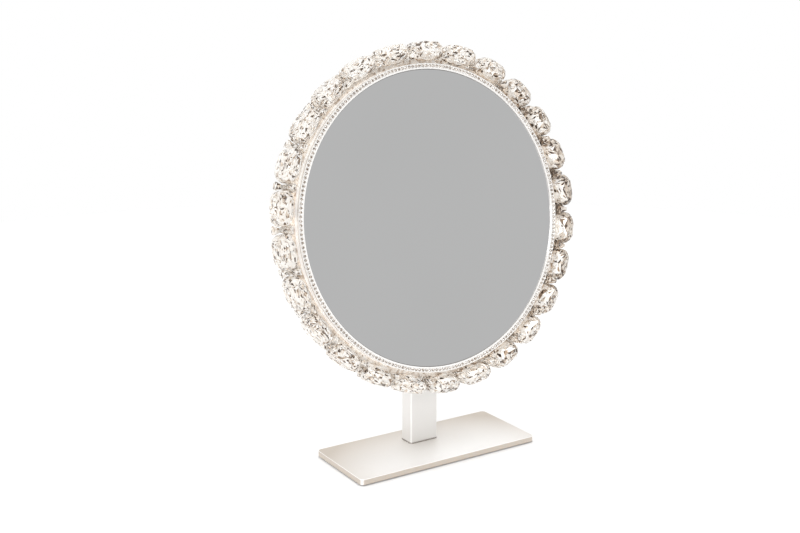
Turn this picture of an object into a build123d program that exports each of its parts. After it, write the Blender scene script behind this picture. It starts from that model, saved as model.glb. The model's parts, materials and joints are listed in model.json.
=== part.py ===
from build123d import *
from math import cos, radians, sin, sqrt
import os

# A round table mirror on a flat post. The head tilts on a friction pivot at the post's tip,
# and it is modelled leaning back. The origin is the centre of the base's underside, the
# viewer stands on the -Y side, and +Z is up. Millimetres and degrees.

# ---------------------------------------------------------------- driving dimensions

# Base
base_width = 182.0
base_depth = 77.0
base_thickness = 4.85
base_corner_radius = 4.0
base_edge_radius = 0.6
pad_thickness = 1.0
pad_inset = 2.5

# Post
post_width = 28.0
post_depth = 15.5
post_wall = 1.5
post_edge_radius = 1.4
post_y = 13.2                   # the post stands behind the middle of the base
foot_block_height = 14.0
base_screw_spacing = 14.0
base_screw_radius = 2.45
base_screw_head_radius = 5.0
base_screw_length = 16.0

# Tilt pivot
pivot_height = 206.5
pivot_to_face = 25.34           # from the pivot to the front of the head, square to the face
head_lean = 8.67                # how far the face leans back from vertical
bolt_radius = 3.0
running_clearance = 0.05
fork_slot_width = 10.2
fork_slot_below_pivot = 8.2
fork_shoulder_drop = 16.0       # from the pivot down to the tube's rim
fork_shank_length = 18.0
tongue_width = 8.0
tongue_radius = 6.5
washer_radius = 6.3
washer_thickness = 1.0
bolt_head_radius = 5.5
bolt_head_height = 3.4
spring_washer_thickness = 1.2
nut_across_flats = 10.0
nut_height = 4.0
nut_cap_height = 3.0
set_screw_radius = 2.4
set_screw_length = 6.0
set_screw_socket_radius = 1.4
set_screw_socket_depth = 2.0

# Head: radii from the middle of the mirror, depths from the front of the bezel backwards
view_radius = 125.0             # the mirror that shows
rim_radius = 129.6              # outside of the bezel and of the drum
glass_radius = 127.6
glass_thickness = 3.0
lip_thickness = 1.0
bezel_depth = 2.5
groove_inner_radius = 126.2
groove_outer_radius = 129.0
groove_depth = 0.5
drum_wall = 1.6
drum_depth = 12.0
flange_inner_radius = 118.0
flange_thickness = 1.5
pad_disc_thickness = 2.0
support_thickness = 3.0
cover_thickness = 1.5
seat_gap = 0.2                  # between the loose discs and the drum's wall

# Small stones in the bezel's groove
stones_per_crystal = 9
stone_radius = 1.28
stone_table_radius = 0.75
stone_height = 1.45

# Large crystals on the flats of their seat
crystal_count = 26
first_crystal_angle = 5.12      # anticlockwise from +X, seen from the front
seat_apothem = 133.4
seat_front_depth = 6.9
seat_back_depth = 17.0
crystal_length = 29.0           # along the ring
crystal_depth = 28.0            # from front to back
crystal_height = 14.1           # outwards from the seat
crystal_corner = 6.5            # cut off each corner of the outline
crystal_crown = 5.0             # height of the bevelled stretch on either side
crystal_bevel = 3.6             # how far the bevel draws the outline in
crystal_front_bevel = 8.6       # the same at the front of the inner side, which clears the drum
crystal_mid_depth = 6.0

# Beads between the crystals
bead_radius = 2.3
bead_ring_radius = 139.8
bead_depth = 8.0
bead_pin_radius = 0.6
bead_pin_foot_radius = 132.0
bead_pin_head_radius = 1.1
bead_pin_head_height = 0.5

# Wedge crystals that fill the gaps before and behind the beads
wedge_foot_radius = 134.6
wedge_top_radius = 138.8
wedge_foot_width = 8.8
wedge_top_width = 4.3
wedge_bead_gap = 0.4
wedge_front_depth = -5.4
wedge_front_bevel = 5.0
wedge_back_depth = 17.4
wedge_back_bevel = 2.0

# small crystals on top of the rear wedges, which widen outwards with the gap
crown_neck_radius = 143.0
crown_top_radius = 145.0
crown_foot_width = 4.2
crown_neck_width = 5.0
crown_top_width = 8.0
crown_back_depth = 18.6
crown_top_bevel = 0.8

# Hinge plate and the screws on the back
hinge_plate_width = 44.0
hinge_plate_height = 50.0
hinge_plate_thickness = 2.0
hinge_plate_corner = 4.0
hinge_screw_spacing_x = 32.0
hinge_screw_spacing_y = 38.0
hinge_screw_radius = 1.9
hinge_screw_head_radius = 3.6
hinge_screw_head_height = 2.1
hinge_screw_length = 7.0
cover_screw_count = 6
cover_screw_circle = 122.5
cover_screw_radius = 1.45
cover_screw_head_radius = 2.8
cover_screw_head_height = 1.3
cross_slot_width = 0.7
cross_slot_depth = 0.8

# ---------------------------------------------------------------- worked out from them

plate_top = pad_thickness + base_thickness
fork_shoulder = pivot_height - fork_shoulder_drop
crystal_pitch = 360.0 / crystal_count
first_bead_angle = first_crystal_angle + crystal_pitch / 2
glass_back = lip_thickness + glass_thickness
support_front = glass_back + pad_disc_thickness
flange_front = support_front + support_thickness
cover_front = flange_front + flange_thickness
drum_inner_radius = rim_radius - drum_wall
hinge_plate_back = drum_depth + hinge_plate_thickness

forward = Vector(0, -cos(radians(head_lean)), sin(radians(head_lean)))
pivot = Vector(0, post_y, pivot_height)
face = Plane(origin=pivot + forward * pivot_to_face, x_dir=(1, 0, 0), z_dir=forward)
pivot_side = Plane(origin=pivot, x_dir=forward, z_dir=(1, 0, 0))
post_section = Plane(origin=(0, post_y, 0))
post_back = Plane.XZ.offset(-(post_y + post_depth / 2))
bore_width = post_width - 2 * post_wall
bore_depth = post_depth - 2 * post_wall
set_screw_height = fork_shoulder - fork_shank_length / 2

os.makedirs("parts", exist_ok=True)


def behind_face(depth):
    """Plane parallel to the face, the given depth behind it."""
    return face.offset(-depth)


def round_the_rim(angle, radius, depth):
    """Plane that looks outwards from the rim: X runs round the ring and Y points forwards."""
    ring = behind_face(depth)
    outwards = ring.x_dir * cos(radians(angle)) + ring.y_dir * sin(radians(angle))
    along = ring.y_dir * cos(radians(angle)) - ring.x_dir * sin(radians(angle))
    return Plane(origin=ring.origin + outwards * radius, x_dir=along, z_dir=outwards)


def save(builder, name):
    builder.part.label = name
    export_step(builder.part, f"parts/{name}.step")


# ---------------------------------------------------------------- base

with BuildPart() as base_pad:
    with BuildSketch():
        RectangleRounded(base_width - 2 * pad_inset, base_depth - 2 * pad_inset, base_corner_radius)
    extrude(amount=pad_thickness)
save(base_pad, "base_pad")

with BuildPart() as base_plate:
    with BuildSketch(Plane.XY.offset(pad_thickness)):
        RectangleRounded(base_width, base_depth, base_corner_radius)
    extrude(amount=base_thickness)
    fillet(base_plate.faces().sort_by(Axis.Z)[-1].edges(), radius=base_edge_radius)
    underside = Plane(origin=(0, post_y, pad_thickness), x_dir=(1, 0, 0), z_dir=(0, 0, -1))
    with Locations(underside):
        with GridLocations(base_screw_spacing, 0, 2, 1):
            CounterSinkHole(radius=base_screw_radius + 0.3, counter_sink_radius=base_screw_head_radius + 0.2)
save(base_plate, "base_plate")

with BuildPart() as base_screws:
    with BuildSketch(Plane.XY.offset(pad_thickness)):
        with Locations((0, post_y)):
            with GridLocations(base_screw_spacing, 0, 2, 1):
                Circle(base_screw_head_radius)
    extrude(amount=base_screw_head_radius - base_screw_radius, taper=45)
    with BuildSketch(Plane.XY.offset(pad_thickness)):
        with Locations((0, post_y)):
            with GridLocations(base_screw_spacing, 0, 2, 1):
                Circle(base_screw_radius)
    extrude(amount=base_screw_length)
save(base_screws, "base_screws")

# ---------------------------------------------------------------- post

with BuildPart() as post_tube:
    with BuildSketch(post_section.offset(plate_top)):
        RectangleRounded(post_width, post_depth, post_edge_radius)
        Rectangle(bore_width, bore_depth, mode=Mode.SUBTRACT)
    extrude(amount=fork_shoulder - plate_top)
    with BuildSketch(post_back):
        with Locations((0, set_screw_height)):
            Circle(set_screw_radius)
    extrude(amount=post_wall, mode=Mode.SUBTRACT)
save(post_tube, "post_tube")

with BuildPart() as post_foot_block:
    with BuildSketch(post_section.offset(plate_top)):
        Rectangle(bore_width, bore_depth)
        with GridLocations(base_screw_spacing, 0, 2, 1):
            Circle(base_screw_radius, mode=Mode.SUBTRACT)
    extrude(amount=foot_block_height)
save(post_foot_block, "post_foot_block")

# The fork keeps the post's outline. It has a round tip about the pivot and a slot for the tongue.
with BuildPart() as pivot_fork:
    with BuildSketch(Plane(origin=pivot, x_dir=(0, 1, 0), z_dir=(1, 0, 0))):
        Circle(post_depth / 2)
        with Locations((0, -fork_shoulder_drop / 2)):
            Rectangle(post_depth, fork_shoulder_drop)
    extrude(amount=post_width / 2, both=True)
    with BuildSketch(post_section.offset(fork_shoulder)):
        RectangleRounded(post_width, post_depth, post_edge_radius)
    extrude(amount=fork_shoulder_drop + post_depth, mode=Mode.INTERSECT)
    with BuildSketch(post_section.offset(fork_shoulder - fork_shank_length)):
        Rectangle(bore_width, bore_depth)
    extrude(amount=fork_shank_length)
    with BuildSketch(post_section.offset(pivot_height - fork_slot_below_pivot)):
        Rectangle(fork_slot_width, 2 * post_depth)
    extrude(amount=2 * post_depth, mode=Mode.SUBTRACT)
    with BuildSketch(pivot_side):
        Circle(bolt_radius)
    extrude(amount=post_width, both=True, mode=Mode.SUBTRACT)
    with BuildSketch(post_back):
        with Locations((0, set_screw_height)):
            Circle(set_screw_radius)
    extrude(amount=set_screw_length, mode=Mode.SUBTRACT)
save(pivot_fork, "pivot_fork")

with BuildPart() as fork_set_screw:
    with BuildSketch(post_back):
        with Locations((0, set_screw_height)):
            Circle(set_screw_radius)
    extrude(amount=set_screw_length)
    with BuildSketch(post_back):
        with Locations((0, set_screw_height)):
            RegularPolygon(radius=set_screw_socket_radius, side_count=6)
    extrude(amount=set_screw_socket_depth, mode=Mode.SUBTRACT)
save(fork_set_screw, "fork_set_screw")

# ---------------------------------------------------------------- tilt pivot

ear_face = post_width / 2
nut_face = -ear_face - spring_washer_thickness

with BuildPart() as pivot_bolt:
    with BuildSketch(pivot_side.offset(nut_face - nut_height)):
        Circle(bolt_radius)
    extrude(amount=ear_face - nut_face + nut_height)
    with BuildSketch(pivot_side.offset(ear_face)):
        Circle(bolt_head_radius)
    extrude(amount=bolt_head_height)
    fillet(pivot_bolt.edges().sort_by(Axis.X)[-1], radius=bolt_head_height / 2)
    with BuildSketch(pivot_side.offset(ear_face + bolt_head_height)):
        RegularPolygon(radius=bolt_radius / 1.5, side_count=6)
    extrude(amount=-bolt_head_height / 2, mode=Mode.SUBTRACT)
save(pivot_bolt, "pivot_bolt")

with BuildPart() as spring_washer:
    with BuildSketch(pivot_side.offset(nut_face)):
        Circle(washer_radius)
        Circle(bolt_radius, mode=Mode.SUBTRACT)
    extrude(amount=spring_washer_thickness)
    chamfer(spring_washer.edges().sort_by(Axis.X)[0], length=spring_washer_thickness / 2)
save(spring_washer, "spring_washer")

# The cap nut is a hexagon with a domed, closed end.
with BuildPart() as pivot_nut:
    with BuildSketch(pivot_side.offset(nut_face)):
        RegularPolygon(radius=nut_across_flats / 2, side_count=6, major_radius=False)
    extrude(amount=-nut_height)
    with BuildSketch(pivot_side.offset(nut_face - nut_height)):
        Circle(nut_across_flats / 2)
    extrude(amount=-nut_cap_height)
    fillet(pivot_nut.edges().sort_by(Axis.X)[0], radius=nut_cap_height * 0.9)
    with BuildSketch(pivot_side.offset(nut_face)):
        Circle(bolt_radius)
    extrude(amount=-nut_height, mode=Mode.SUBTRACT)
save(pivot_nut, "pivot_nut")

washer_offset = tongue_width / 2 + (fork_slot_width - tongue_width - 2 * washer_thickness) / 4

with BuildPart() as friction_washers:
    with BuildSketch(pivot_side.offset(washer_offset), pivot_side.offset(-washer_offset - washer_thickness)):
        Circle(washer_radius)
        Circle(bolt_radius, mode=Mode.SUBTRACT)
    extrude(amount=washer_thickness)
save(friction_washers, "friction_washers")

# ---------------------------------------------------------------- head, from the back forwards

with BuildPart() as hinge_plate:
    with BuildSketch(behind_face(drum_depth)):
        RectangleRounded(hinge_plate_width, hinge_plate_height, hinge_plate_corner)
        with GridLocations(hinge_screw_spacing_x, hinge_screw_spacing_y, 2, 2):
            Circle(hinge_screw_radius, mode=Mode.SUBTRACT)
    extrude(amount=-hinge_plate_thickness)
    tongue_length = pivot_to_face - hinge_plate_back
    with BuildSketch(pivot_side):
        Circle(tongue_radius)
        with Locations((tongue_length / 2, 0)):
            Rectangle(tongue_length, 2 * tongue_radius)
        Circle(bolt_radius + running_clearance, mode=Mode.SUBTRACT)
    extrude(amount=tongue_width / 2, both=True)
save(hinge_plate, "hinge_plate")

with BuildPart() as hinge_screws:
    with BuildSketch(behind_face(hinge_plate_back)):
        with GridLocations(hinge_screw_spacing_x, hinge_screw_spacing_y, 2, 2):
            Circle(hinge_screw_radius)
    extrude(amount=hinge_screw_length)
    with BuildSketch(behind_face(hinge_plate_back)):
        with GridLocations(hinge_screw_spacing_x, hinge_screw_spacing_y, 2, 2):
            Circle(hinge_screw_head_radius)
    extrude(amount=-hinge_screw_head_height, taper=20)
    with BuildSketch(behind_face(hinge_plate_back + hinge_screw_head_height)):
        with GridLocations(hinge_screw_spacing_x, hinge_screw_spacing_y, 2, 2):
            Rectangle(hinge_screw_head_radius, cross_slot_width)
            Rectangle(cross_slot_width, hinge_screw_head_radius)
    extrude(amount=cross_slot_depth, mode=Mode.SUBTRACT)
save(hinge_screws, "hinge_screws")

with BuildPart() as back_cover:
    with BuildSketch(behind_face(cover_front)):
        Circle(drum_inner_radius - seat_gap)
        with GridLocations(hinge_screw_spacing_x, hinge_screw_spacing_y, 2, 2):
            Circle(hinge_screw_radius, mode=Mode.SUBTRACT)
        with PolarLocations(cover_screw_circle, cover_screw_count):
            Circle(cover_screw_radius, mode=Mode.SUBTRACT)
    extrude(amount=-cover_thickness)
save(back_cover, "back_cover")

with BuildPart() as cover_screws:
    with BuildSketch(behind_face(drum_depth)):
        with PolarLocations(cover_screw_circle, cover_screw_count):
            Circle(cover_screw_radius)
    extrude(amount=cover_thickness + flange_thickness)
    with BuildSketch(behind_face(drum_depth)):
        with PolarLocations(cover_screw_circle, cover_screw_count):
            Circle(cover_screw_head_radius)
    extrude(amount=-cover_screw_head_height, taper=20)
    with BuildSketch(behind_face(drum_depth + cover_screw_head_height)):
        with PolarLocations(cover_screw_circle, cover_screw_count):
            Rectangle(cover_screw_head_radius, cross_slot_width)
            Rectangle(cross_slot_width, cover_screw_head_radius)
    extrude(amount=cross_slot_depth, mode=Mode.SUBTRACT)
save(cover_screws, "cover_screws")

with BuildPart() as support_plate:
    with BuildSketch(behind_face(support_front)):
        Circle(drum_inner_radius - seat_gap)
        with GridLocations(hinge_screw_spacing_x, hinge_screw_spacing_y, 2, 2):
            Circle(hinge_screw_radius, mode=Mode.SUBTRACT)
    extrude(amount=-support_thickness)
save(support_plate, "support_plate")

with BuildPart() as glass_pad:
    with BuildSketch(behind_face(glass_back)):
        Circle(glass_radius)
    extrude(amount=-pad_disc_thickness)
save(glass_pad, "glass_pad")

with BuildPart() as mirror_glass:
    with BuildSketch(behind_face(lip_thickness)):
        Circle(glass_radius)
    extrude(amount=-glass_thickness)
save(mirror_glass, "mirror_glass")

with BuildPart() as drum_ring:
    with BuildSketch(behind_face(bezel_depth)):
        Circle(rim_radius)
        Circle(drum_inner_radius, mode=Mode.SUBTRACT)
    extrude(amount=bezel_depth - drum_depth)
    with BuildSketch(behind_face(flange_front)):
        Circle(rim_radius)
        Circle(flange_inner_radius, mode=Mode.SUBTRACT)
        with PolarLocations(cover_screw_circle, cover_screw_count):
            Circle(cover_screw_radius, mode=Mode.SUBTRACT)
    extrude(amount=-flange_thickness)
save(drum_ring, "drum_ring")

with BuildPart() as front_bezel:
    with BuildSketch(face):
        Circle(rim_radius)
        Circle(view_radius, mode=Mode.SUBTRACT)
    extrude(amount=-bezel_depth)
    with BuildSketch(behind_face(lip_thickness)):
        Circle(glass_radius)
    extrude(amount=lip_thickness - bezel_depth, mode=Mode.SUBTRACT)
    with BuildSketch(face):
        Circle(groove_outer_radius)
        Circle(groove_inner_radius, mode=Mode.SUBTRACT)
    extrude(amount=-groove_depth, mode=Mode.SUBTRACT)
save(front_bezel, "front_bezel")

# Each stone is a small cone with a flat table, standing on the floor of the groove.
with BuildPart(behind_face(groove_depth)) as rim_stones:
    with PolarLocations((groove_inner_radius + groove_outer_radius) / 2, crystal_count * stones_per_crystal):
        Cone(
            bottom_radius=stone_radius,
            top_radius=stone_table_radius,
            height=stone_height,
            align=(Align.CENTER, Align.CENTER, Align.MIN),
        )
save(rim_stones, "rim_stones")

# ---------------------------------------------------------------- crystals and beads

bead_angles = [first_bead_angle + crystal_pitch * step for step in range(crystal_count)]

# The seat has a flat for each crystal and a drilled corner for each bead's pin.
with BuildPart() as crystal_seat:
    with BuildSketch(behind_face(seat_front_depth)):
        RegularPolygon(
            radius=seat_apothem,
            side_count=crystal_count,
            major_radius=False,
            rotation=first_bead_angle,
        )
        Circle(rim_radius, mode=Mode.SUBTRACT)
    extrude(amount=seat_front_depth - seat_back_depth)
    for angle in bead_angles:
        with BuildSketch(round_the_rim(angle, bead_pin_foot_radius, bead_depth)):
            Circle(bead_pin_radius)
        extrude(amount=bead_ring_radius - bead_pin_foot_radius, mode=Mode.SUBTRACT)
save(crystal_seat, "crystal_seat")

with BuildPart() as bead_pins:
    for angle in bead_angles:
        with BuildSketch(round_the_rim(angle, bead_pin_foot_radius, bead_depth)):
            Circle(bead_pin_radius)
        extrude(amount=bead_ring_radius + bead_radius - bead_pin_foot_radius)
        with BuildSketch(round_the_rim(angle, bead_ring_radius + bead_radius, bead_depth)):
            Circle(bead_pin_head_radius)
        extrude(amount=bead_pin_head_height)
save(bead_pins, "bead_pins")

with BuildPart() as spacer_beads:
    for angle in bead_angles:
        with Locations(round_the_rim(angle, bead_ring_radius, bead_depth)):
            Sphere(bead_radius)
            Cylinder(bead_pin_radius, 3 * bead_radius, mode=Mode.SUBTRACT)
save(spacer_beads, "spacer_beads")

# Two keystone crystals stand in each gap, one before and one behind the bead. They are glued to the large
# ones on either side.
wedge_spans = {
    "front_wedges": (wedge_front_depth, wedge_front_bevel, bead_depth - bead_radius - wedge_bead_gap, 0),
    "back_wedges": (bead_depth + bead_radius + wedge_bead_gap, 0, wedge_back_depth, wedge_back_bevel),
}

for name, (front, front_bevel, back, back_bevel) in wedge_spans.items():
    foot_depth = back - front - front_bevel - back_bevel
    foot_shift = (back_bevel - front_bevel) / 2
    with BuildPart() as wedges:
        for angle in bead_angles:
            with BuildSketch(round_the_rim(angle, wedge_foot_radius, (front + back) / 2)):
                with Locations((0, foot_shift)):
                    Rectangle(wedge_foot_width, foot_depth)
            with BuildSketch(round_the_rim(angle, wedge_top_radius, (front + back) / 2)):
                Rectangle(wedge_top_width, back - front)
            loft(ruled=True)
    save(wedges, name)

crown_front_depth = bead_depth + bead_radius + wedge_bead_gap
crown_mid_depth = (crown_front_depth + crown_back_depth) / 2
crown_length = crown_back_depth - crown_front_depth

with BuildPart() as crown_stones:
    for angle in bead_angles:
        with BuildSketch(round_the_rim(angle, wedge_top_radius, (crown_front_depth + wedge_back_depth) / 2)):
            Rectangle(crown_foot_width, wedge_back_depth - crown_front_depth)
        with BuildSketch(round_the_rim(angle, crown_neck_radius, crown_mid_depth)):
            Rectangle(crown_neck_width, crown_length)
        with BuildSketch(round_the_rim(angle, crown_top_radius, crown_mid_depth)):
            Rectangle(crown_top_width, crown_length - 2 * crown_top_bevel)
        loft(ruled=True)
save(crown_stones, "crown_stones")

# A crystal is a block with cut corners and a bevelled crown on its inner and its outer side. Each section
# has its height, its inset at the ends and at the back, and its inset at the front.
crystal_sections = [
    (0, crystal_bevel, crystal_front_bevel),
    (crystal_crown, 0, 0),
    (crystal_height - crystal_crown, 0, 0),
    (crystal_height, crystal_bevel, crystal_bevel),
]

for step in range(crystal_count):
    flat = round_the_rim(first_crystal_angle + crystal_pitch * step, seat_apothem, crystal_mid_depth)
    with BuildPart() as crystal:
        for height, inset, front_inset in crystal_sections:
            with BuildSketch(flat.offset(height)) as section:
                with Locations((0, (inset - front_inset) / 2)):
                    Rectangle(crystal_length - 2 * inset, crystal_depth - inset - front_inset)
                chamfer(section.vertices(), length=crystal_corner - (2 - sqrt(2)) * inset)
        loft(ruled=True)
    save(crystal, f"crystal_{step + 1:02d}")
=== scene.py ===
import json
import math
import random

import bmesh
import bpy
from mathutils import Matrix, Vector


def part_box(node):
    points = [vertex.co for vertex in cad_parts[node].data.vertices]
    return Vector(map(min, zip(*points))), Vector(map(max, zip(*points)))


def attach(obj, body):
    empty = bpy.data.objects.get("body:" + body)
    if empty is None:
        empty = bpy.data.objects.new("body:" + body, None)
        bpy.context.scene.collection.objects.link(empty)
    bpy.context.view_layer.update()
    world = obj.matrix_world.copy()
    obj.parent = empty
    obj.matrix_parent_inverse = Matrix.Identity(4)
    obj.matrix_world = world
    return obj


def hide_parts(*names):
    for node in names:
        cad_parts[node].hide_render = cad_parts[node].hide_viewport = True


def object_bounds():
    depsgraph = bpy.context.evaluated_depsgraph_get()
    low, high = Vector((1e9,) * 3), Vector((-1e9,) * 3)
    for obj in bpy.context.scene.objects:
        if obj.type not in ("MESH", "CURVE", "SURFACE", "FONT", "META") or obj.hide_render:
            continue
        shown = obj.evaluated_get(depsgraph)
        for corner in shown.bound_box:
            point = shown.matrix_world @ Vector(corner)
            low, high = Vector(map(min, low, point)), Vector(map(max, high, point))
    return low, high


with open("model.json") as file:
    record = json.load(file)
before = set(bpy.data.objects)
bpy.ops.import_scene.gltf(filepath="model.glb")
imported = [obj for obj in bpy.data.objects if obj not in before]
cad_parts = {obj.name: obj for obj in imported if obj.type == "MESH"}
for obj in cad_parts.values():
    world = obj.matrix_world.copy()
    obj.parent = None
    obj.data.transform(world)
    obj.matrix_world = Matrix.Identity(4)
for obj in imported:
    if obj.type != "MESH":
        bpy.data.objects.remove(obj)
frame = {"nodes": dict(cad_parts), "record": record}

cad_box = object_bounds()
nodes = frame["nodes"]
MM = 0.001

# ---------------------------------------------------------------- the head's own axes

FRONT_FACING = -0.9  # a face whose normal's Y is below this belongs to the glass's front
SAME_CORNER = 1e-6  # corners closer than this are one


def face_of(node):
    """Normal and centre of the flat front of a disc."""
    normal, centre, area = Vector(), Vector(), 0.0
    for polygon in nodes[node].data.polygons:
        if polygon.normal.y < FRONT_FACING:
            normal += polygon.normal * polygon.area
            centre += polygon.center * polygon.area
            area += polygon.area
    return normal.normalized(), centre / area


FRONT, glass_centre = face_of("mirror_glass")
RIGHT = Vector((1.0, 0.0, 0.0))
UP = FRONT.cross(RIGHT).normalized()
FRONT = RIGHT.cross(UP).normalized()
bezel_corners = [v.co for v in nodes["front_bezel"].data.vertices]
HUB = glass_centre + FRONT * max((corner - glass_centre).dot(FRONT) for corner in bezel_corners)
lip_radius = min((corner - HUB).cross(FRONT).length for corner in bezel_corners)


def ring_angle(point):
    """Angle of a point on the head round the ring, 0 at the right and a quarter turn at the top."""
    arm = point - HUB
    return math.atan2(arm.dot(UP), arm.dot(RIGHT))


def average(points):
    return sum(points, Vector()) / len(points)


def islands(node):
    """The separate solids of one CAD node in their order round the ring, each as a list of its corners."""
    bm = bmesh.new()
    bm.from_mesh(nodes[node].data)
    bmesh.ops.remove_doubles(bm, verts=bm.verts[:], dist=SAME_CORNER)
    seen, found = set(), []
    for first in bm.verts:
        if first in seen:
            continue
        seen.add(first)
        stack, group = [first], []
        while stack:
            vert = stack.pop()
            group.append(vert.co.copy())
            for edge in vert.link_edges:
                other = edge.other_vert(vert)
                if other not in seen:
                    seen.add(other)
                    stack.append(other)
        found.append(group)
    bm.free()
    return sorted(found, key=lambda group: ring_angle(average(group)))


def middle(points, axes):
    """Centre of the points' box along the given axes, and its half sizes."""
    centre, half = Vector(), []
    for axis in axes:
        along = [p.dot(axis) for p in points]
        centre += axis * (max(along) + min(along)) / 2
        half.append((max(along) - min(along)) / 2)
    return centre, half


def placing(centre, axes):
    """Matrix that puts a piece modelled round the origin at the centre, along the axes."""
    return Matrix.Translation(centre) @ Matrix(axes).transposed().to_4x4()


def seat_of(corners):
    """Place of a solid on the ring: the matrix of its own axes (X along the ring, Y to the front, Z
    outwards) about its centre, and its half sizes along them."""
    angle = ring_angle(average(corners))
    outward = RIGHT * math.cos(angle) + UP * math.sin(angle)
    axes = (FRONT.cross(outward), FRONT, outward)
    centre, half = middle(corners, axes)
    return placing(centre, axes), half


# ---------------------------------------------------------------- node helpers


class Shade:
    """A material with a Principled shader and short calls to feed it."""

    def __init__(self, name, **values):
        self.material = bpy.data.materials.new(name)
        self.material.use_nodes = True
        self.tree = self.material.node_tree
        self.shader = self.tree.nodes["Principled BSDF"]
        for socket, value in values.items():
            self.shader.inputs[socket.replace("_", " ")].default_value = value
        self.coords = self.tree.nodes.new("ShaderNodeTexCoord").outputs["Object"]

    def link(self, source, target):
        self.tree.links.new(source, target)

    def put(self, value, socket):
        """Link an output to the socket, or set a number or colour on it."""
        if isinstance(value, bpy.types.NodeSocket):
            self.link(value, socket)
        else:
            socket.default_value = value

    def stretched(self, scale):
        mapping = self.tree.nodes.new("ShaderNodeMapping")
        mapping.inputs["Scale"].default_value = scale
        self.link(self.coords, mapping.inputs["Vector"])
        return mapping.outputs["Vector"]

    def noise(self, scale, detail=3.0, roughness=0.5, vector=None):
        texture = self.tree.nodes.new("ShaderNodeTexNoise")
        texture.inputs["Scale"].default_value = scale
        texture.inputs["Detail"].default_value = detail
        texture.inputs["Roughness"].default_value = roughness
        self.link(vector or self.coords, texture.inputs["Vector"])
        return texture.outputs["Fac"]

    def cells(self, scale, output="Distance"):
        texture = self.tree.nodes.new("ShaderNodeTexVoronoi")
        texture.inputs["Scale"].default_value = scale
        self.link(self.coords, texture.inputs["Vector"])
        return texture.outputs[output]

    def chips(self, scale):
        """Three random numbers for each chip of a broken-up surface."""
        split = self.tree.nodes.new("ShaderNodeSeparateColor")
        self.link(self.cells(scale, "Color"), split.inputs["Color"])
        return [split.outputs[channel] for channel in ("Red", "Green", "Blue")]

    def facet_chips(self, scale):
        """The same, with the first number also changing from facet to facet."""
        first, second, third = self.chips(scale)
        shifted = self.maths("ADD", self.maths("MULTIPLY", self.attribute("facet"), FACET_SHARE), first)
        return self.maths("FRACT", shifted), second, third

    def attribute(self, name):
        reader = self.tree.nodes.new("ShaderNodeAttribute")
        reader.attribute_name = name
        return reader.outputs["Fac"]

    def ramp(self, source, *stops, interpolation="LINEAR"):
        node = self.tree.nodes.new("ShaderNodeValToRGB")
        node.color_ramp.interpolation = interpolation
        set_stops(node.color_ramp.elements, stops)
        self.link(source, node.inputs["Fac"])
        return node.outputs["Color"]

    def span(self, source, low, high, start=0.0, end=1.0):
        """The source's range start..end stretched to low..high, and held at its ends."""
        node = self.tree.nodes.new("ShaderNodeMapRange")
        node.inputs["From Min"].default_value = start
        node.inputs["From Max"].default_value = end
        node.inputs["To Min"].default_value = low
        node.inputs["To Max"].default_value = high
        self.link(source, node.inputs["Value"])
        return node.outputs["Result"]

    def mix(self, factor, a, b, blend="MIX"):
        node = self.tree.nodes.new("ShaderNodeMix")
        node.data_type = "RGBA"
        node.blend_type = blend
        for value, name in ((factor, "Factor_Float"), (a, "A_Color"), (b, "B_Color")):
            self.put(value, next(s for s in node.inputs if s.identifier == name))
        return next(s for s in node.outputs if s.identifier == "Result_Color")

    def times(self, a, b):
        """One colour multiplied by another."""
        return self.mix(1.0, a, b, "MULTIPLY")

    def maths(self, operation, *values):
        node = self.tree.nodes.new("ShaderNodeMath")
        node.operation = operation
        for value, socket in zip(values, node.inputs):
            self.put(value, socket)
        return node.outputs["Value"]

    def split(self, vector):
        """The X, Y and Z of a vector."""
        node = self.tree.nodes.new("ShaderNodeSeparateXYZ")
        self.link(vector, node.inputs["Vector"])
        return [node.outputs[axis] for axis in "XYZ"]

    def geometry(self, output):
        return self.tree.nodes.new("ShaderNodeNewGeometry").outputs[output]

    def bump(self, height, strength, distance):
        node = self.tree.nodes.new("ShaderNodeBump")
        node.inputs["Strength"].default_value = strength
        node.inputs["Distance"].default_value = distance
        self.link(height, node.inputs["Height"])
        self.link(node.outputs["Normal"], self.shader.inputs["Normal"])

    def feed(self, socket, source):
        self.link(source, self.shader.inputs[socket])


def set_stops(elements, stops):
    """Colour ramp stops from (place, colour) pairs."""
    elements.remove(elements[1])
    elements[0].position, elements[0].color = stops[0][0], (*stops[0][1], 1.0)
    for place, colour in stops[1:]:
        elements.new(place).color = (*colour, 1.0)


# ---------------------------------------------------------------- metals, foam and nylon

NO_TINT = (1.0, 1.0, 1.0)

# Lacquered metal. Scales are in repeats per metre; the grain runs along X
GRAIN_SCALE = (260, 2600, 2600)
SPECKLE_SCALE, CLOUD_SCALE, RUBBED_SCALE = 5200, 14, 55
# painted highlight: rounded edges are lightened towards this tint
EDGE_HIGHLIGHT_TINT = (0.99, 0.985, 0.975, 1.0)
EDGE_HIGHLIGHT_SHARE = 0.9
EDGE_NORMAL, FLAT_NORMAL = 0.80, 0.97  # the normal's largest part on a rounded edge and on a flat
CREVICE_REACH = 3 * MM
CREVICE_SAMPLES = 8
# painted shade: the colour that corners, crevices and contacts darken towards
CREVICE_SHADE_TINT = (0.28, 0.24, 0.21)
DUST_TINT = (0.975, 0.97, 0.96)
END_SHARE, END_POWER = 0.45, 3.0  # painted shade at a plate's two ends, and how steeply it sets in
BACK_SHARE, BACK_POWER = 0.85, 1.6  # the same towards its back
SIDE_NORMAL = 0.7  # the painted shade on the sides fades out by this upward part of the normal


def edges(s):
    """1 on the rounded edges of a piece whose flat faces are square to the axes, where a highlight is
    painted.
    """
    x, y, z = (s.maths("ABSOLUTE", part) for part in s.split(s.geometry("Normal")))
    largest = s.maths("MAXIMUM", s.maths("MAXIMUM", x, y), z)
    return s.span(largest, EDGE_HIGHLIGHT_SHARE, 0.0, EDGE_NORMAL, FLAT_NORMAL)


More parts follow.
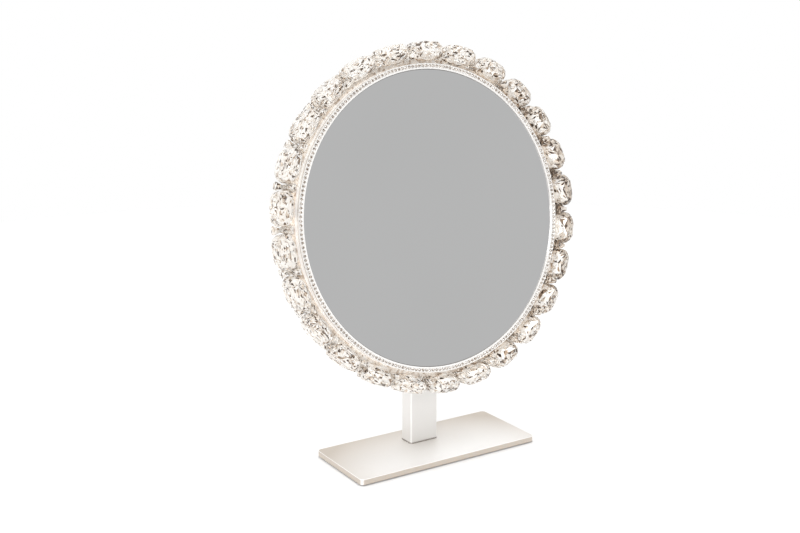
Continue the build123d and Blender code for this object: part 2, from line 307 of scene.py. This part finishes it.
def painted_shade_falloff(s, low, high, strength):
    """Painted shade: a darker, warmer tone towards the back, the ends and the sides of a plate."""
    x, y, _ = s.split(s.coords)
    across = s.span(x, -1.0, 1.0, low.x, high.x)
    deep = s.span(y, 0.0, 1.0, low.y, high.y)
    ends = s.maths("MULTIPLY", s.maths("POWER", s.maths("ABSOLUTE", across), END_POWER), END_SHARE)
    back = s.maths("MULTIPLY", s.maths("POWER", deep, BACK_POWER), BACK_SHARE)
    side = s.span(s.split(s.geometry("True Normal"))[2], 1.0, 0.0, 0.0, SIDE_NORMAL)
    reach = s.maths("MAXIMUM", s.maths("ADD", ends, back), side)
    return s.ramp(reach, (0.0, NO_TINT), (1.0, strength))


def satin_champagne(name, colour, painted_shade_box=None, square=True):
    """Satin champagne-silver lacquer: fine grain, faint clouds, a painted highlight on the rounded edges,
    and painted shade in corners and crevices. The third argument, if given, is a box (low, high, strength)
    of painted shade that darkens and warms the piece towards its back, ends and sides. Square says that the
    flat faces are square to the axes."""
    s = Shade(name, Metallic=0.35)
    grain = s.noise(1.0, 4.0, 0.65, s.stretched(GRAIN_SCALE))
    speckle = s.noise(SPECKLE_SCALE, 2.0)
    clouds = s.noise(CLOUD_SCALE, 4.0)
    rubbed = s.noise(RUBBED_SCALE, 5.0, 0.7)
    duller = tuple(part * 0.97 for part in colour)
    brighter = tuple(min(1, part * 1.02) for part in colour)
    tint = s.ramp(clouds, (0.3, duller), (0.7, brighter))
    tint = s.times(tint, s.ramp(rubbed, (0.58, NO_TINT), (0.78, DUST_TINT)))
    # painted shade towards the plate's back, ends and sides
    if painted_shade_box:
        tint = s.times(tint, painted_shade_falloff(s, *painted_shade_box))
    # painted highlight along the rounded edges
    if square:
        tint = s.mix(edges(s), tint, EDGE_HIGHLIGHT_TINT)
    # painted shade: ambient occlusion darkens the colour in corners, crevices and where parts meet
    contact_shade = s.tree.nodes.new("ShaderNodeAmbientOcclusion")
    contact_shade.inputs["Distance"].default_value = CREVICE_REACH
    contact_shade.samples = CREVICE_SAMPLES
    crevice_shade = s.ramp(contact_shade.outputs["AO"], (0.5, CREVICE_SHADE_TINT), (0.74, NO_TINT))
    s.feed("Base Color", s.times(tint, crevice_shade))
    s.feed("Roughness", s.maths("ADD", s.span(grain, 0.30, 0.42), s.span(rubbed, 0.0, 0.08)))
    s.bump(s.maths("ADD", grain, s.span(speckle, 0.0, 0.6)), 0.22, 0.12 * MM)
    return s.material


def polished_metal(name, colour, roughness, scale, metallic=1.0, glow=0.0):
    """Polished plating with faint swirls from wiping. The glow stands for light that the stones round it
    send back."""
    s = Shade(name, Metallic=metallic, Emission_Color=(1, 1, 1, 1), Emission_Strength=glow)
    clouds = s.noise(scale, 4.0)
    swirls = s.noise(scale * 24, 3.0, 0.6)
    s.feed("Base Color", s.ramp(clouds, (0.3, tuple(part * 0.94 for part in colour)), (0.7, colour)))
    s.feed("Roughness", s.span(swirls, roughness * 0.6, roughness * 1.5, 0.25, 0.75))
    s.bump(swirls, 0.08, 0.05 * MM)
    return s.material


def fastener_steel(name):
    """Nickel-plated steel with turning marks and faint stains."""
    s = Shade(name, Metallic=1.0)
    turned = s.noise(900, 4.0, 0.6)
    stain = s.noise(240, 3.0)
    s.feed("Base Color", s.ramp(stain, (0.3, (0.5, 0.49, 0.47)), (0.7, (0.68, 0.67, 0.65))))
    s.feed("Roughness", s.span(turned, 0.18, 0.42))
    s.bump(turned, 0.15, 0.06 * MM)
    return s.material


def foam(name):
    """Dark closed-cell foam with small pores."""
    s = Shade(name)
    pores = s.cells(1500)
    patches = s.noise(40, 3.0)
    s.feed("Base Color", s.ramp(patches, (0.3, (0.030, 0.029, 0.028)), (0.7, (0.055, 0.053, 0.051))))
    s.feed("Roughness", s.span(pores, 0.75, 0.95))
    s.bump(pores, 0.5, 0.2 * MM)
    return s.material


def nylon(name):
    """Natural nylon, slightly cloudy."""
    s = Shade(name, Subsurface_Weight=0.1)
    clouds = s.noise(600, 3.0)
    s.feed("Base Color", s.ramp(clouds, (0.3, (0.78, 0.77, 0.73)), (0.7, (0.85, 0.84, 0.81))))
    s.feed("Roughness", s.span(clouds, 0.35, 0.5))
    s.bump(clouds, 0.1, 0.05 * MM)
    return s.material


def seat_metal(name):
    """Champagne anodised collar with a fine hammered grain that glints in browns."""
    s = Shade(name, Metallic=0.7)
    red, green, blue = s.chips(420)
    tone = s.ramp(s.noise(260, 4.0, 0.6),
                  (0.32, (0.60, 0.51, 0.43)), (0.45, (0.88, 0.81, 0.73)), (0.7, (0.96, 0.93, 0.89)))
    chip = s.ramp(red, (0.0, (0.42, 0.33, 0.26)), (0.25, (0.9, 0.84, 0.78)), (1.0, NO_TINT))
    s.feed("Base Color", s.mix(0.8, tone, chip, "MULTIPLY"))
    s.feed("Roughness", s.span(green, 0.14, 0.34))
    s.bump(blue, 0.25, 0.4 * MM)
    return s.material


# ---------------------------------------------------------------- glass

FACET_SHARE = 0.6  # how far a chip's tone follows its facet
LIP_SHADE = (0.34, 0.32, 0.31)
LIP_SHADE_FROM, LIP_SHADE_TO = -1.2 * MM, 0.4 * MM  # from the lip's inner edge, outwards


def mirror(name):
    """Silvered float glass: very slight waviness of tone, almost no roughness, darker where it meets
    the lip."""
    s = Shade(name, Metallic=1.0)
    clouds = s.noise(5, 2.0)
    haze = s.noise(30, 3.0)
    silver = s.ramp(clouds, (0.25, (0.835, 0.838, 0.838)), (0.75, (0.865, 0.868, 0.868)))
    arm = s.tree.nodes.new("ShaderNodeVectorMath")
    arm.operation = "DISTANCE"
    arm.inputs[1].default_value = glass_centre
    s.link(s.coords, arm.inputs[0])
    near_lip = s.span(arm.outputs["Value"], 0.0, 1.0, lip_radius + LIP_SHADE_FROM, lip_radius + LIP_SHADE_TO)
    s.feed("Base Color", s.times(silver, s.ramp(near_lip, (0.25, NO_TINT), (0.6, LIP_SHADE))))
    s.feed("Roughness", s.span(haze, 0.004, 0.012))
    return s.material


GLASS_IOR = 1.5
GLASS_TRANSMISSION = 0.55
GLASS_ROUGHNESS = 0.012
SPARKLE = 0.14  # light that goes through the stone and comes back out of a facet
FOOT_SHADE_SHARE = 0.2  # painted shade: share of its tone that the foot of a stone on the ring's shaded right keeps
LOWEST, HIGHEST = -1.2, 1.1  # heights at which a stone has that share and the whole of its tone


def cut_glass(name, tones, grain):
    """Clear cut glass: the light that each facet sends out comes in chips from white to brown."""
    s = Shade(name, IOR=GLASS_IOR, Transmission_Weight=GLASS_TRANSMISSION, Emission_Strength=SPARKLE)
    own, _, blue = s.facet_chips(grain)
    # painted shade: the chips darken towards a stone's foot and on the ring's right
    own = s.maths("MULTIPLY", own, s.span(s.attribute("height"), FOOT_SHADE_SHARE, 1.0, LOWEST, HIGHEST))
    veil = s.ramp(s.noise(420, 3.0), (0.35, (0.975, 0.97, 0.96)), (0.6, NO_TINT))
    tone = s.times(s.ramp(own, *tones, interpolation="CONSTANT"), veil)
    s.feed("Base Color", tone)
    s.feed("Emission Color", s.times(s.times(tone, tone), tone))
    s.feed("Roughness", s.span(s.noise(900, 2.0), GLASS_ROUGHNESS * 0.5, GLASS_ROUGHNESS * 2.5))
    s.bump(blue, 0.3, 0.4 * MM)
    return s.material


def foil(name, tones, grain, metallic):
    """Champagne foil behind cut glass, crinkled into small chips that glint from white to brown."""
    s = Shade(name, Metallic=metallic)
    own, green, blue = s.facet_chips(grain)
    s.feed("Base Color", s.ramp(own, *tones, interpolation="CONSTANT"))
    s.feed("Roughness", s.span(green, 0.15, 0.4))
    s.bump(blue, 0.35, 0.4 * MM)
    return s.material


# ---------------------------------------------------------------- looks of the CAD's own pieces

CHAMPAGNE, POST_CHAMPAGNE = (0.945, 0.93, 0.91), (0.79, 0.775, 0.755)
FORK_CHAMPAGNE, COVER_CHAMPAGNE = (0.80, 0.775, 0.74), (0.78, 0.745, 0.705)
# painted shade: the darker, warmer tint at the plate's back, ends and sides
PAINTED_SHADE_TINT = (0.62, 0.56, 0.495)

# By material slot, or by node where one piece differs from the rest of its slot
looks = {
    "pad_foam": foam("pad_foam"),
    "satin_champagne": satin_champagne("satin_champagne", CHAMPAGNE),
    "base_plate": satin_champagne("satin_champagne_plate_painted_shade", CHAMPAGNE, (*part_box("base_plate"), PAINTED_SHADE_TINT)),
    "fastener_steel": fastener_steel("fastener_steel"),
    "washer_nylon": nylon("washer_nylon"),
    "hinge_steel": polished_metal("hinge_steel", (0.70, 0.68, 0.65), roughness=0.28, scale=90),
    "post_tube": satin_champagne("satin_champagne_post", POST_CHAMPAGNE),
    "pivot_fork": satin_champagne("satin_champagne_fork", FORK_CHAMPAGNE, square=False),
    "cover_champagne": satin_champagne("cover_champagne", COVER_CHAMPAGNE, square=False),
    "support_aluminium": polished_metal("support_aluminium", (0.75, 0.75, 0.75), roughness=0.35, scale=70),
    "mirror_silver": mirror("mirror_silver"),
    "front_bezel": polished_metal("polished_bezel", (0.96, 0.94, 0.915), roughness=0.22, scale=80,
                                  metallic=0.3, glow=0.06),
    "polished_rim": polished_metal("polished_rim", (0.985, 0.975, 0.96), roughness=0.25, scale=80,
                                   metallic=0.1, glow=0.34),
    "seat_champagne": seat_metal("seat_champagne"),
}
for row in frame["record"]["subparts"]:
    look = looks.get(row["node"]) or looks.get(row["material_slot"])
    if look:
        mesh = nodes[row["node"]].data
        mesh.materials.clear()
        mesh.materials.append(look)

# ---------------------------------------------------------------- cut stones

DARK, BROWN, TAN = (0.075, 0.05, 0.035), (0.34, 0.25, 0.18), (0.70, 0.615, 0.53)
BEIGE, WARM, CLEAR = (0.86, 0.81, 0.745), (0.935, 0.915, 0.885), (0.99, 0.982, 0.968)
TABLE_DARK, TABLE_LIGHT = (0.26, 0.205, 0.165), (0.44, 0.375, 0.32)

# Tones with the share of the chips at which each starts, and the chips per metre
glass = cut_glass(
    "crystal_glass",
    ((0.0, DARK), (0.115, BROWN), (0.175, TAN), (0.26, BEIGE), (0.37, WARM), (0.5, CLEAR)), grain=340)
glass_foil = foil(
    "crystal_foil",
    ((0.0, DARK), (0.07, BROWN), (0.17, TAN), (0.3, BEIGE), (0.55, WARM)), grain=250, metallic=0.9)
bead_glass = cut_glass(
    "bead_glass", ((0.0, DARK), (0.08, BROWN), (0.2, BEIGE), (0.4, CLEAR)), grain=700)
stone_body = foil(
    "stone_foil", ((0.0, DARK), (0.28, BROWN), (0.46, BEIGE), (0.66, CLEAR)), grain=1500, metallic=0.9)
stone_table = foil("stone_table", ((0.0, TABLE_DARK), (0.5, TABLE_LIGHT)), grain=1500, metallic=0.3)

MERGE_ANGLE = math.radians(3.0)
PAINTED_SIDE_SHADE = 1.2  # painted shade: how much the height attribute is lowered at the far right of the ring, which darkens the stones' chips there


def hull_mesh(name, points, draw, slots=None, poke_over=(), rise=0.0, place=None):
    """A convex cut stone through the points. For each limit in poke_over, in mm2, facets larger than it are
    cut into low pyramids, rise high for each unit of their width. The "facet" attribute is a random number
    for each facet. The "height" attribute is 0 at the stone's foot and 1 at its top, less on the ring's
    right when the stone's place is given, as that side has less light behind it; the glass darkens its chips
    with it as painted shade. Slots picks a facet's material, the first one if it isn't given."""
    bm = bmesh.new()
    for point in points:
        bm.verts.new(point)
    bmesh.ops.convex_hull(bm, input=bm.verts[:])
    inside = [vert for vert in bm.verts if not vert.link_faces]
    bmesh.ops.delete(bm, geom=inside, context="VERTS")
    bmesh.ops.dissolve_limit(bm, angle_limit=MERGE_ANGLE, verts=bm.verts[:], edges=bm.edges[:])
    bmesh.ops.recalc_face_normals(bm, faces=bm.faces[:])
    for limit in poke_over:
        large = [face for face in bm.faces if face.calc_area() > limit * MM * MM]
        heights = [rise * math.sqrt(face.calc_area()) for face in large]
        for face, height in zip(large, heights):
            bmesh.ops.poke(bm, faces=[face], offset=height, center_mode="MEAN_WEIGHTED")
    bm.faces.ensure_lookup_table()
    # painted shade on the ring's right
    side_shade = PAINTED_SIDE_SHADE * max(0.0, math.cos(ring_angle(place))) ** 2 if place else 0.0
    tone, height = bm.faces.layers.float.new("facet"), bm.faces.layers.float.new("height")
    low = min(vert.co.z for vert in bm.verts)
    reach = max(vert.co.z for vert in bm.verts) - low
    for face in bm.faces:
        face[tone] = draw.random()
        face[height] = (face.calc_center_median().z - low) / reach - side_shade
        face.material_index = slots(face) if slots else 0
        face.smooth = False
    mesh = bpy.data.meshes.new(name)
    bm.to_mesh(mesh)
    bm.free()
    return mesh


def gather(name, placed):
    """One mesh from many (mesh, matrix) pairs."""
    bm = bmesh.new()
    for mesh, matrix in placed:
        mesh.transform(matrix)
        bm.from_mesh(mesh)
        bpy.data.meshes.remove(mesh)
    mesh = bpy.data.meshes.new(name)
    bm.to_mesh(mesh)
    bm.free()
    return mesh


def add_piece(mesh, materials, replaced):
    """A visible piece of the head, named as its mesh is, in place of a CAD node."""
    for material in materials:
        mesh.materials.append(material)
    piece = bpy.data.objects.new(mesh.name, mesh)
    bpy.context.scene.collection.objects.link(piece)
    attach(piece, "head")
    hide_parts(replaced)


# Rings of a crystal from the seat outwards: share of the height; insets in mm at the ends, the front and
# the back; and whether the points are the outline's corners or lie between them
CRYSTAL_RINGS = (
    (0.0, 3.4, 8.9, 3.9, True), (0.17, 1.6, 4.7, 2.0, False), (0.355, 0.2, 0.45, 0.35, True),
    (0.5, 0.0, 0.0, 0.0, False), (0.68, 0.2, 0.25, 0.3, True), (0.85, 1.4, 1.5, 1.6, False),
    (0.955, 2.7, 2.8, 2.9, True), (0.985, 5.4, 5.4, 5.4, False), (1.0, 8.8, 8.8, 8.8, True))
CORNER_RING, BETWEEN_RING = (0.0, 0.5), (0.22, 0.78)  # shares of a side at which a ring has points
CRYSTAL_CORNER = 5.4 * MM
SKIN = 0.3 * MM  # the facets stay this far inside the CAD crystal's box
SHIFT = 0.06  # most that a ring's point moves along its side
PULL = 0.94  # most that it is drawn in
FOILED_HEIGHT = 0.26  # share of a crystal's height, from its foot, that is backed with foil
CRYSTAL_POKE, CRYSTAL_RISE = (12.0, 7.0), 0.1
MOST_OF_DEPTH, MOST_OF_HALF_WIDTH = 0.45, 0.8  # a cut corner takes no more of a drawn-in outline


def cut_outline(half_x, half_y, ends, front, back):
    """The eight corners of a crystal's outline, drawn in at its ends, front and back."""
    x, y1, y2 = half_x - ends, half_y - front, back - half_y
    cut = min(CRYSTAL_CORNER - (2 - math.sqrt(2)) * ends, MOST_OF_DEPTH * (y1 - y2), MOST_OF_HALF_WIDTH * x)
    return ((x, y1 - cut), (x - cut, y1), (cut - x, y1), (-x, y1 - cut),
            (-x, y2 + cut), (cut - x, y2), (x - cut, y2), (x, y2 + cut))


def crystal_points(half, draw):
    half_x, half_y, half_z = (size - SKIN for size in half)
    points = []
    for share, ends, front, back, cornered in CRYSTAL_RINGS:
        corners = cut_outline(half_x, half_y, ends * MM, front * MM, back * MM)
        for here, following in zip(corners, corners[1:] + corners[:1]):
            for along in CORNER_RING if cornered else BETWEEN_RING:
                along += draw.uniform(-SHIFT, SHIFT) if along else 0.0
                pull = draw.uniform(PULL, 1.0)
                points.append((pull * (here[0] + (following[0] - here[0]) * along),
                               pull * (here[1] + (following[1] - here[1]) * along),
                               (share - 0.5) * 2 * half_z))
    return points


for name in sorted(n for n in nodes if n.startswith("crystal_") and n[8:].isdigit()):
    draw = random.Random("cut " + name)
    matrix, half = seat_of([v.co.copy() for v in nodes[name].data.vertices])
    foiled_below = (FOILED_HEIGHT * 2 - 1) * half[2]
    mesh = hull_mesh("cut_" + name, crystal_points(half, draw), draw,
                     slots=lambda face: 1 if face.calc_center_median().z < foiled_below else 0,
                     poke_over=CRYSTAL_POKE, rise=CRYSTAL_RISE, place=matrix.translation)
    mesh.transform(matrix)
    add_piece(mesh, (glass, glass_foil), name)

# Round beads between the crystals, cut all over in five rows of facets
BEAD_ROWS = (-0.93, -0.6, 0.0, 0.6, 0.93)
BEAD_SIDES = 10
parts = []
for corners in islands("spacer_beads"):
    matrix, half = seat_of(corners)
    draw = random.Random("bead %d" % len(parts))
    radius = max(half[0], half[1])
    points = []
    for row, share in enumerate(BEAD_ROWS):
        reach = radius * math.sqrt(1 - share * share)
        for side in range(BEAD_SIDES):
            theta = 2 * math.pi * (side + row % 2 / 2) / BEAD_SIDES
            points.append((reach * math.cos(theta), reach * math.sin(theta), radius * share))
    parts.append((hull_mesh("bead", points, draw), matrix))
add_piece(gather("cut_beads", parts), (bead_glass,), "spacer_beads")

SMALL_POKE, SMALL_RISE = (8.0,), 0.05  # for the wedge and crown crystals


def bulged_row(draw, wide, back, front, shares, waist, narrowest):
    """Points (x, y) down both sides of a block from back to front. The waist is the share that its two
    ends lose of the width, and narrowest bounds the random narrowing of each point."""
    for share in shares:
        bulge = 1 - waist * abs(2 * share - 1) ** 3
        for side in (-1, 1):
            yield side * wide * bulge * draw.uniform(narrowest, 1.0), back + (front - back) * share


# Wedge crystals in the gaps, before and behind the beads
WEDGE_FOOT, WEDGE_TOP = 4.3 * MM, 2.1 * MM
WEDGE_SHARES = (0.0, 0.22, 0.5, 0.78, 1.0)  # of the way from the back to the front
WEDGE_WAIST, WEDGE_NARROWEST, WEDGE_LOWEST = 0.35, 0.8, 0.85
for name in ("front_wedges", "back_wedges"):
    parts = []
    for corners in islands(name):
        matrix, (_, _, half_z) = seat_of(corners)
        draw = random.Random("%s %d" % (name, len(parts)))
        inwards = matrix.inverted()
        placed = [inwards @ corner for corner in corners]
        foot, top = [p.y for p in placed if p.z < 0], [p.y for p in placed if p.z > 0]
        points = []
        for sign, wide, front, back in (
                (-1, WEDGE_FOOT, max(foot), min(foot)),
                (0, (WEDGE_FOOT + WEDGE_TOP) / 2, (max(top) + max(foot)) / 2, (min(top) + min(foot)) / 2),
                (1, WEDGE_TOP, max(top), min(top))):
            for x, y in bulged_row(draw, wide, back, front, WEDGE_SHARES, WEDGE_WAIST, WEDGE_NARROWEST):
                points.append((x, y, sign * half_z * draw.uniform(WEDGE_LOWEST, 1.0)))
        wedge = hull_mesh("wedge", points, draw, None, SMALL_POKE, SMALL_RISE, matrix.translation)
        parts.append((wedge, matrix))
    add_piece(gather("cut_" + name, parts), (glass,), name)

# Crown crystals on top of the rear wedges, which widen outwards: a low block and a flared one on each
CROWN_SHARES = (0.0, 0.25, 0.5, 0.75, 1.0)  # of the way from the back to the front
CROWN_LEVELS = (0.0, 0.5, 1.0)  # of the way from a block's foot to its top
CROWN_WAIST, CROWN_NARROWEST = 0.3, 0.86
SAME_LEVEL = 0.02 * MM
NOT_AN_END = 0.9  # levels within this share of the half height lie between the foot and the top


def section(corners, level):
    """Half width, back and front of a crown's outline at one of its levels, given in mm."""
    ring = [p for p in corners if abs(p.z - level * MM) < SAME_LEVEL]
    return max(p.x for p in ring), min(p.y for p in ring), max(p.y for p in ring)


parts = []
for corners in islands("crown_stones"):
    matrix, (_, _, half_z) = seat_of(corners)
    draw = random.Random("crown %d" % len(parts))
    inwards = matrix.inverted()
    placed = [inwards @ corner for corner in corners]
    levels = sorted({round(p.z / MM, 2) for p in placed})
    neck = next(z for z in levels if abs(z * MM) < NOT_AN_END * half_z)
    for low, high in ((levels[0], neck), (neck, levels[-1])):
        points = []
        for share in CROWN_LEVELS:
            ends = zip(section(placed, low), section(placed, high))
            wide, back, front = (a + (b - a) * share for a, b in ends)
            z = (low + (high - low) * share) * MM
            row = bulged_row(draw, wide, back, front, CROWN_SHARES, CROWN_WAIST, CROWN_NARROWEST)
            points += [(x, y, z) for x, y in row]
        crown = hull_mesh("crown", points, draw, None, SMALL_POKE, SMALL_RISE, matrix.translation)
        parts.append((crown, matrix))
add_piece(gather("cut_crown_stones", parts), (glass,), "crown_stones")

# Small stones in the bezel's groove: rows of eight corners, at a share of the height and of the radius
STONE_ROWS = ((-1.0, 0.86), (-0.5, 0.98), (0.3, 0.82), (1.0, 0.46))
STONE_SIDES = 8
TABLE_FACING = 0.98
parts = []
for corners in islands("rim_stones"):
    centre, half = middle(corners, (RIGHT, UP, FRONT))
    radius, half_height = max(half[0], half[1]), half[2]
    draw = random.Random("stone %d" % len(parts))
    spin = draw.uniform(0, math.pi / 4)
    points = []
    for row, (share, reach) in enumerate(STONE_ROWS):
        for side in range(STONE_SIDES):
            theta = 2 * math.pi * (side + row % 2 / 2) / STONE_SIDES + spin
            points.append((reach * radius * math.cos(theta), reach * radius * math.sin(theta),
                           share * half_height))
    stone = hull_mesh("stone", points, draw, lambda face: 1 if face.normal.z > TABLE_FACING else 0)
    parts.append((stone, placing(centre, (RIGHT, UP, FRONT))))
add_piece(gather("cut_rim_stones", parts), (stone_body, stone_table), "rim_stones")

# ---------------------------------------------------------------- floor, light and camera

FLOOR_RADIUS = 1.35
FLOOR_SIDES = 96
FLOOR_TONES = (0.955, 0.955, 0.955), (0.965, 0.965, 0.965)
floor_mesh = bpy.data.meshes.new("floor")
bm = bmesh.new()
bmesh.ops.create_circle(bm, cap_ends=True, segments=FLOOR_SIDES, radius=FLOOR_RADIUS)
bm.to_mesh(floor_mesh)
bm.free()
floor = bpy.data.objects.new("floor", floor_mesh)
bpy.context.scene.collection.objects.link(floor)
pale = Shade("pale_floor", Roughness=0.9)
pale.feed("Base Color", pale.ramp(pale.noise(3, 2.0), (0.3, FLOOR_TONES[0]), (0.7, FLOOR_TONES[1])))
floor_mesh.materials.append(pale.material)


def area_light(name, place, aim, size, power):
    data = bpy.data.lights.new(name, "AREA")
    data.shape = "SQUARE"
    data.size = size
    data.energy = power
    lamp = bpy.data.objects.new(name, data)
    bpy.context.scene.collection.objects.link(lamp)
    lamp.location = place
    lamp.rotation_mode = "QUATERNION"
    lamp.rotation_quaternion = (aim - Vector(place)).to_track_quat("-Z", "Y")


target = (cad_box[0] + cad_box[1]) / 2
area_light("overhead", (0.0, 0.1, 1.7), target, 1.6, 8.0)
area_light("front_left_window", (-1.35, -1.5, 0.75), target, 0.9, 14.0)

# The room round the set is white, and mid grey where the glass looks from the camera's side
CAMERA_PLACE = Vector((-0.5087, -0.7509, 0.3734))
CAMERA_TURN, CAMERA_DIP = 32.57, 12.83
CAMERA_LENS, CAMERA_SENSOR = 48.735, 36.0
CAMERA_CLIP = (0.01, 50.0)
ROOM_TONES = ((0.25, 1.0), (0.8, 0.88), (0.93, 0.72), (0.98, 0.545))  # grey by closeness to that way
to_glass = (glass_centre - CAMERA_PLACE).normalized()
seen_in_glass = to_glass - 2 * to_glass.dot(FRONT) * FRONT

world = bpy.data.worlds.new("studio")
world.use_nodes = True
bpy.context.scene.world = world
tree = world.node_tree
background = tree.nodes["Background"]
coords = tree.nodes.new("ShaderNodeTexCoord")
dot = tree.nodes.new("ShaderNodeVectorMath")
dot.operation = "DOT_PRODUCT"
dot.inputs[1].default_value = seen_in_glass
tree.links.new(coords.outputs["Generated"], dot.inputs[0])
room = tree.nodes.new("ShaderNodeValToRGB")
room.color_ramp.interpolation = "EASE"
set_stops(room.color_ramp.elements, [(place, (grey, grey, grey)) for place, grey in ROOM_TONES])
tree.links.new(dot.outputs["Value"], room.inputs["Fac"])
tree.links.new(room.outputs["Color"], background.inputs["Color"])
background.inputs["Strength"].default_value = 1.0

camera_data = bpy.data.cameras.new("camera")
camera_data.lens, camera_data.sensor_width = CAMERA_LENS, CAMERA_SENSOR
camera_data.clip_start, camera_data.clip_end = CAMERA_CLIP
camera = bpy.data.objects.new("camera", camera_data)
bpy.context.scene.collection.objects.link(camera)
camera.location = CAMERA_PLACE
camera.rotation_euler = (math.radians(90 - CAMERA_DIP), 0.0, math.radians(-CAMERA_TURN))
bpy.context.scene.camera = camera

view = bpy.context.scene.view_settings
view.view_transform = "Standard"
view.look = "None"
view.exposure, view.gamma = 0.0, 1.0
